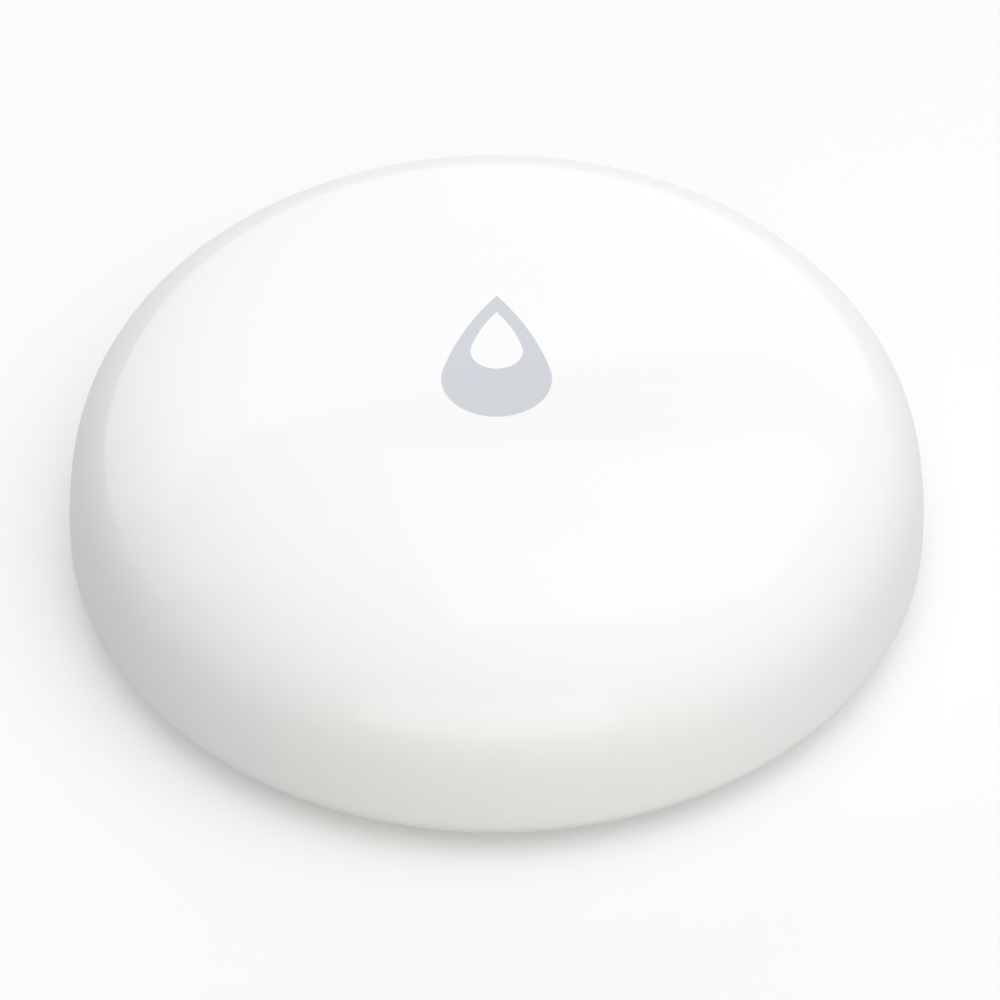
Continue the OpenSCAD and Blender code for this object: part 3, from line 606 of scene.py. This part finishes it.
def makeLugs():
    low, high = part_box("cover_shell")
    bore = (high.x - low.x) / 2 - coverDome["skirtWall"]
    root = bore + coverInside["letIn"]
    tip = bore - coverInside["lugReach"]
    start = low.z + coverInside["lugLift"]
    top = start + coverInside["lugHeight"]
    outline = [(root, start), (bore, start), (tip, (start + top) / 2), (tip, top), (root, top)]
    lug = arcBlock("snapLugs", outline, coverInside["lugAngle"], coverInside["lugSteps"])
    ringOfCopies("ringOfLugs", lug, coverGloss, coverInside["lugCount"], 0.0, coverInside["firstLug"],
                 turned=1.0)
    joinCover(lug)
    print("snap lugs", coverInside["lugCount"], "at radius", round(tip / mm, 2), "mm")


makeRibs()
makeLugs()


# Drop mark, a thin print that follows the crown

dropMark = {
    "innerWidth": 3.0 * mm,
    "innerLength": 4.9 * mm,
    "tipGap": 1.45 * mm,  # between the two tips
    "turn": math.radians(15),  # where the side arcs leave the round end
    "film": 0.006 * mm,  # how far it stands proud
    "depth": 0.2 * mm,
    "sideSteps": 26,
    "roundSteps": 84,
    "acrossSteps": 12,
}


def dropOutline(width, length, tipY):
    # a round end, and on each side a wide arc that runs on from it to the tip
    radius = width / 2
    tip = length - radius
    turn = dropMark["turn"]
    shift = (tip ** 2 - radius ** 2) / (2 * (radius - tip * math.sin(turn)))
    centre = Vector((-shift * math.cos(turn), -shift * math.sin(turn)))
    tipSlope = math.acos((tip - centre.y) / (shift + radius))
    roundStart = math.pi / 2 - turn
    side = []
    for i in range(dropMark["sideSteps"] + 1):
        slope = tipSlope + (roundStart - tipSlope) * i / dropMark["sideSteps"]
        side.append(centre + (shift + radius) * Vector((math.sin(slope), math.cos(slope))))
    roundEnd = []
    for i in range(1, dropMark["roundSteps"]):
        slope = roundStart + 2 * (math.pi - roundStart) * i / dropMark["roundSteps"]
        roundEnd.append(radius * Vector((math.sin(slope), math.cos(slope))))
    mirrored = [Vector((-p.x, p.y)) for p in reversed(side[1:])]
    return [p + Vector((0, tipY - tip)) for p in side + roundEnd + mirrored]


def makeDropMark():
    low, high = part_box("drop_mark")
    outer = dropOutline(high.x - low.x, high.y - low.y, high.y)
    inner = dropOutline(dropMark["innerWidth"], dropMark["innerLength"], high.y - dropMark["tipGap"])
    sizes = domeSizes()

    def onCrown(flat, lift):
        return (*flat, crownHeight(sizes, flat.length) + lift)

    steps = dropMark["acrossSteps"]
    loops = []
    for lift, order in ((dropMark["film"], range(steps + 1)), (-dropMark["depth"], range(steps, -1, -1))):
        for i in order:
            loops.append([onCrown(a.lerp(b, i / steps), lift) for a, b in zip(inner, outer)])
    work = bmesh.new()
    rows = [[work.verts.new(p) for p in loop] for loop in loops]
    for near, far in zip(rows, rows[1:] + rows[:1]):
        joinRows(work, near, far)
    mesh = meshFrom(work, "dropPrint")
    smoothFaces(mesh)
    mesh.materials.append(markInk)
    mark = addPiece("dropPrint", mesh)
    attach(mark, "cover")
    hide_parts("drop_mark")
    print("drop mark", len(mesh.polygons), "faces")


makeDropMark()


# Feet, soft rounded pads let into the base

feet = {
    "count": 4,
    "firstAngle": math.radians(45),
    "diameter": 5 * mm,
    "round": 0.35 * mm,
    "segments": 72,
}


def makeFeet():
    low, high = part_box("base_feet")
    footRadius = feet["diameter"] / 2
    ringRadius = (high.x - footRadius) * math.sqrt(2)
    edge = feet["round"]
    outline = [(0, low.z)]
    outline += roundedCorner((footRadius - edge, low.z + edge), edge, 180, 90)
    outline += [(footRadius, high.z), (0, high.z)]
    pad = lathe("footPads", outline, feet["segments"])
    ringOfCopies("ringOfFeet", pad, footSilicone, feet["count"], ringRadius, feet["firstAngle"])
    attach(pad, "base")
    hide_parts("base_feet")
    print("feet", feet["count"], "at radius", round(ringRadius / mm, 3), "mm")


makeFeet()


# Probe screws, turned steel heads with a driver slot across them

probes = {
    "count": 2,
    "headHeight": 1.1 * mm,
    "shankDiameter": 2 * mm,
    "round": 0.25 * mm,
    "slotWidth": 0.7 * mm,
    "slotDepth": 0.5 * mm,
    "segments": 96,
}


def cutAway(piece, cutterMesh):
    cutter = addPiece("cutter", cutterMesh)
    cut = piece.modifiers.new("cut", "BOOLEAN")
    cut.operation = "DIFFERENCE"
    cut.object = cutter
    bake(piece)
    bpy.data.objects.remove(cutter)


def makeProbes():
    low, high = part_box("probe_screws")
    headRadius = (high.y - low.y) / 2
    shankRadius = probes["shankDiameter"] / 2
    seat = low.z + probes["headHeight"]
    edge = probes["round"]
    outline = [(0, low.z)]
    outline += roundedCorner((headRadius - edge, low.z + edge), edge, 180, 90)
    outline += [(headRadius, seat), (shankRadius, seat), (shankRadius, high.z), (0, high.z)]
    screw = lathe("probeHeads", outline, probes["segments"])
    halfSlot = probes["slotWidth"] / 2
    cutAway(screw, boxMesh("driverSlot", (-2 * headRadius, -halfSlot, low.z - edge),
                           (2 * headRadius, halfSlot, low.z + probes["slotDepth"])))
    ringOfCopies("ringOfProbes", screw, probeSteel, probes["count"], probeRing, 0.0)
    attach(screw, "base")
    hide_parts("probe_screws")
    print("probe screws", len(screw.data.polygons), "faces")


makeProbes()


# Snap dome of the switch: a thin shell turned from two arcs, its crown under the plunger

snapDome = {
    "thickness": 0.1 * mm,
    "segments": 72,
    "steps": 16,
}


def makeSnapDome():
    low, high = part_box("switch_dome")
    rim = (high.x - low.x) / 2
    rise = high.z - low.z
    ball = (rim ** 2 + rise ** 2) / (2 * rise)
    centre = (0, high.z - ball)
    inner = ball - snapDome["thickness"]
    outerSlope = math.degrees(math.asin(rim / ball))
    innerSlope = math.degrees(math.acos((low.z - centre[1]) / inner))
    outline = [(0, high.z)]
    outline += roundedCorner(centre, ball, 0, outerSlope, snapDome["steps"])[1:]
    outline += roundedCorner(centre, inner, innerSlope, 0, snapDome["steps"])[:-1]
    outline += [(0, high.z - snapDome["thickness"])]
    dome = lathe("snapDome", outline, snapDome["segments"])
    smoothFaces(dome.data)
    dome.data.materials.append(contactMetal)
    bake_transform(dome)
    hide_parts("switch_dome")
    print("snap dome", round(rise / mm, 2), "mm high")


makeSnapDome()


# Floor, light and camera

floor = {
    "radius": 0.45,
    "segments": 128,
    "colour": (0.62, 0.62, 0.62),
    "glow": 0.305,  # brings the bare paper to white for the eye and in reflections
}
tent = {  # a white tent round the object, with soft glows on its walls
    "white": (1.0, 1.0, 1.0),
    "glows": [  # bearing from the front and height, in degrees, and the light's colour at its middle
        (0, 55, (2.10, 1.99, 1.72)),
        (60, 55, (1.52, 1.63, 1.73)),
        (0, 90, (1.36, 1.38, 1.58)),
        (180, 18, (1.15, 1.08, 0.74)),
        (90, 18, (0.20, 0.26, 0.29)),
        (45, 18, (0.23, 0.11, 0.00)),
        (135, 18, (0.17, 0.17, 0.17)),
    ],
    "shine": [  # the same for what is seen of the walls, on top of their white
        (180, 0, (0.38, 0.38, 0.38)),
        (225, 0, (0.55, 0.55, 0.55)),
        (135, 0, (0.30, 0.30, 0.30)),
    ],
    "tightness": 9.0,
}
softboxes = {
    "distance": 0.9,
    # name, bearing, shift to the right in its own plane, width, height, brightness and colour;
    # the first three stand side by side as one straight wall
    "standing": [
        ("backLeft", 203, -0.45, 0.9, 0.94, 0.67, (0.737, 0.762, 1.0)),
        ("backMiddle", 203, 0.45, 0.9, 0.94, 0.60, (0.757, 0.792, 1.0)),
        ("backRight", 203, 1.5, 1.2, 0.94, 0.45, (1.0, 0.921, 0.934)),
        ("left", 260, 0.0, 0.4, 0.87, 0.32, (0.85, 0.86, 1.0)),
        ("front", 0, 0.044, 1.06, 0.56, 0.60, (1.0, 1.0, 1.0)),
    ],
    "overhead": {  # faces straight down
        "centre": Vector((0.55, 0.4, 1.0)),
        "width": 1.3,
        "depth": 1.0,
        "brightness": 0.45,
        "colour": (1.0, 1.0, 1.0),
    },
}
view = {
    "target": Vector((0.19 * mm, 0, 3.78 * mm)),
    "distance": 289 * mm,
    "height": 43.82,  # degrees above the floor
    "lens": 177.5,
    "sensor": 36.0,
    "clipStart": 10 * mm,
}


def towards(bearing, height):
    # bearing 0 is the front, 90 the right-hand side
    a = math.radians(bearing)
    e = math.radians(height)
    return Vector((math.sin(a) * math.cos(e), -math.cos(a) * math.cos(e), math.sin(e)))


def seenRays(bench):
    # 1 for what the eye sees directly, in a reflection or through something clear
    ray = bench.node("ShaderNodeLightPath").socket.node
    direct, mirrored, through = (Wire(bench, ray.outputs[f"Is {kind} Ray"])
                                 for kind in ("Camera", "Glossy", "Transmission"))
    return bench.sums("MINIMUM", direct + mirrored + through, 1.0)


def makeFloor():
    work = bmesh.new()
    bmesh.ops.create_circle(work, cap_ends=True, segments=floor["segments"], radius=floor["radius"])
    sheet = addPiece("floor", meshFrom(work, "floor"))
    paper = Finish("floorPaper", Roughness=0.9, Specular_IOR_Level=0.0, Emission_Strength=floor["glow"])
    paper.mottle(floor["colour"], *marks["paperFibre"])
    paper.feed("Emission Color", seenRays(paper))
    sheet.data.materials.append(paper.material)


def glowing(sky, glow, glows):
    # adds soft round glows to the colour that is there
    way = sky.node("ShaderNodeTexCoord", out="Generated")
    for bearing, height, colour in glows:
        facing = sky.node("ShaderNodeVectorMath", {"operation": "DOT_PRODUCT"}, {
            0: way, 1: towards(bearing, height)}, out="Value")
        share = sky.sums("POWER", sky.sums("MAXIMUM", facing, 0.0), tent["tightness"])
        glow = sky.node("ShaderNodeVectorMath", {"operation": "MULTIPLY_ADD"}, {0: share, 1: colour, 2: glow})
    return glow


def makeTent():
    world = bpy.data.worlds.new("tent")
    scene.world = world
    world.use_nodes = True
    sky = Bench(world.node_tree)
    light = sky.node("ShaderNodeBackground", sockets={"Color": glowing(sky, (0, 0, 0), tent["glows"])})
    seen = sky.node("ShaderNodeBackground", sockets={"Color": glowing(sky, tent["white"], tent["shine"])})
    whole = sky.node("ShaderNodeMixShader", sockets={0: seenRays(sky), 1: light, 2: seen})
    sky.node("ShaderNodeOutputWorld", sockets={"Surface": whole})


def addSoftbox(name, centre, back, width, height, brightness, colour):
    data = bpy.data.lights.new(name, "AREA")
    data.shape = "RECTANGLE"
    data.size = width
    data.size_y = height
    data.energy = brightness * math.pi * width * height  # the watts at which its face is that bright
    data.color = colour
    box = bpy.data.objects.new(name, data)
    box.location = centre
    box.rotation_euler = back.to_track_quat("Z", "Y").to_euler()
    scene.collection.objects.link(box)


def makeSoftboxes():
    for name, bearing, shift, width, height, brightness, colour in softboxes["standing"]:
        back = towards(bearing, 0)
        centre = back * softboxes["distance"] + towards(bearing - 90, 0) * shift
        centre.z = height / 2
        addSoftbox(name, centre, back, width, height, brightness, colour)
    over = softboxes["overhead"]
    addSoftbox("overhead", over["centre"], Vector((0, 0, 1)), over["width"], over["depth"],
               over["brightness"], over["colour"])


def makeCamera():
    data = bpy.data.cameras.new("camera")
    data.lens = view["lens"]
    data.sensor_width = view["sensor"]
    data.clip_start = view["clipStart"]
    camera = bpy.data.objects.new("camera", data)
    way = towards(0, view["height"])
    camera.location = view["target"] + way * view["distance"]
    camera.rotation_euler = way.to_track_quat("Z", "Y").to_euler()
    scene.collection.objects.link(camera)
    scene.camera = camera


makeFloor()
makeTent()
makeSoftboxes()
makeCamera()
scene.view_settings.view_transform = "Standard"
print("stage set with", len(softboxes["standing"]) + 1, "softboxes")
